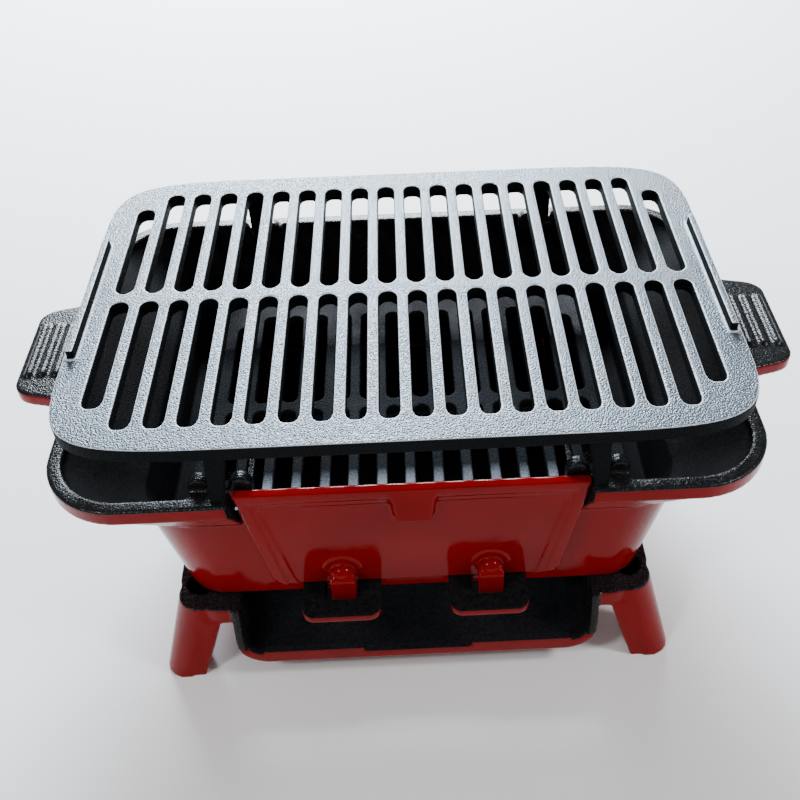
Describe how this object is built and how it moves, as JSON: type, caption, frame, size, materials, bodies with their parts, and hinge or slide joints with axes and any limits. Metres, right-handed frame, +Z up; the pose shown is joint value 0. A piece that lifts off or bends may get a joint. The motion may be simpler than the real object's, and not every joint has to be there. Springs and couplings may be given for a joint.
{
  "type": "hibachi grill",
  "caption": "Small cast-iron charcoal grill: oblong fire bowl with end handles and a drop-front fuel door on a splayed-leg base with an ash tray, under a slotted cooking grate.",
  "frame": {"origin": "on the ground, under the middle of the grill's whole length and depth", "axes": "+Z up; +X along the length, towards the handle on the right seen from the front; -Y is the front, the side with the fuel door"},
  "size_m": [0.533, 0.32, 0.236],
  "materials": {
    "enamel": "gloss",
    "iron": "rough cast"
  },
  "bodies": {
    "base": {"base": "enamel"},
    "fire_bowl": {"fire_bowl": "enamel"},
    "coal_grate": {"coal_grate": "iron"},
    "fuel_door": {"fuel_door": "enamel"},
    "cooking_grate": {"cooking_grate": "iron"}
  },
  "joints": [
    {"name": "bowl_lift", "type": "slide", "parent": "base", "child": "fire_bowl", "axis": [0, 0, 1], "range_m": [0, 0.06]},
    {"name": "grate_lift", "type": "slide", "parent": "fire_bowl", "child": "cooking_grate", "axis": [0, 0, 1], "range_m": [0, 0.08]},
    {"name": "coal_grate_lift", "type": "slide", "parent": "fire_bowl", "child": "coal_grate", "axis": [0, 0, 1], "range_m": [0, 0.05]},
    {"name": "fuel_door_hinge", "type": "hinge", "parent": "fire_bowl", "child": "fuel_door", "pos_m": [0, -0.141, 0.088], "axis": [1, 0, 0], "range_deg": [0, 90]}
  ]
}
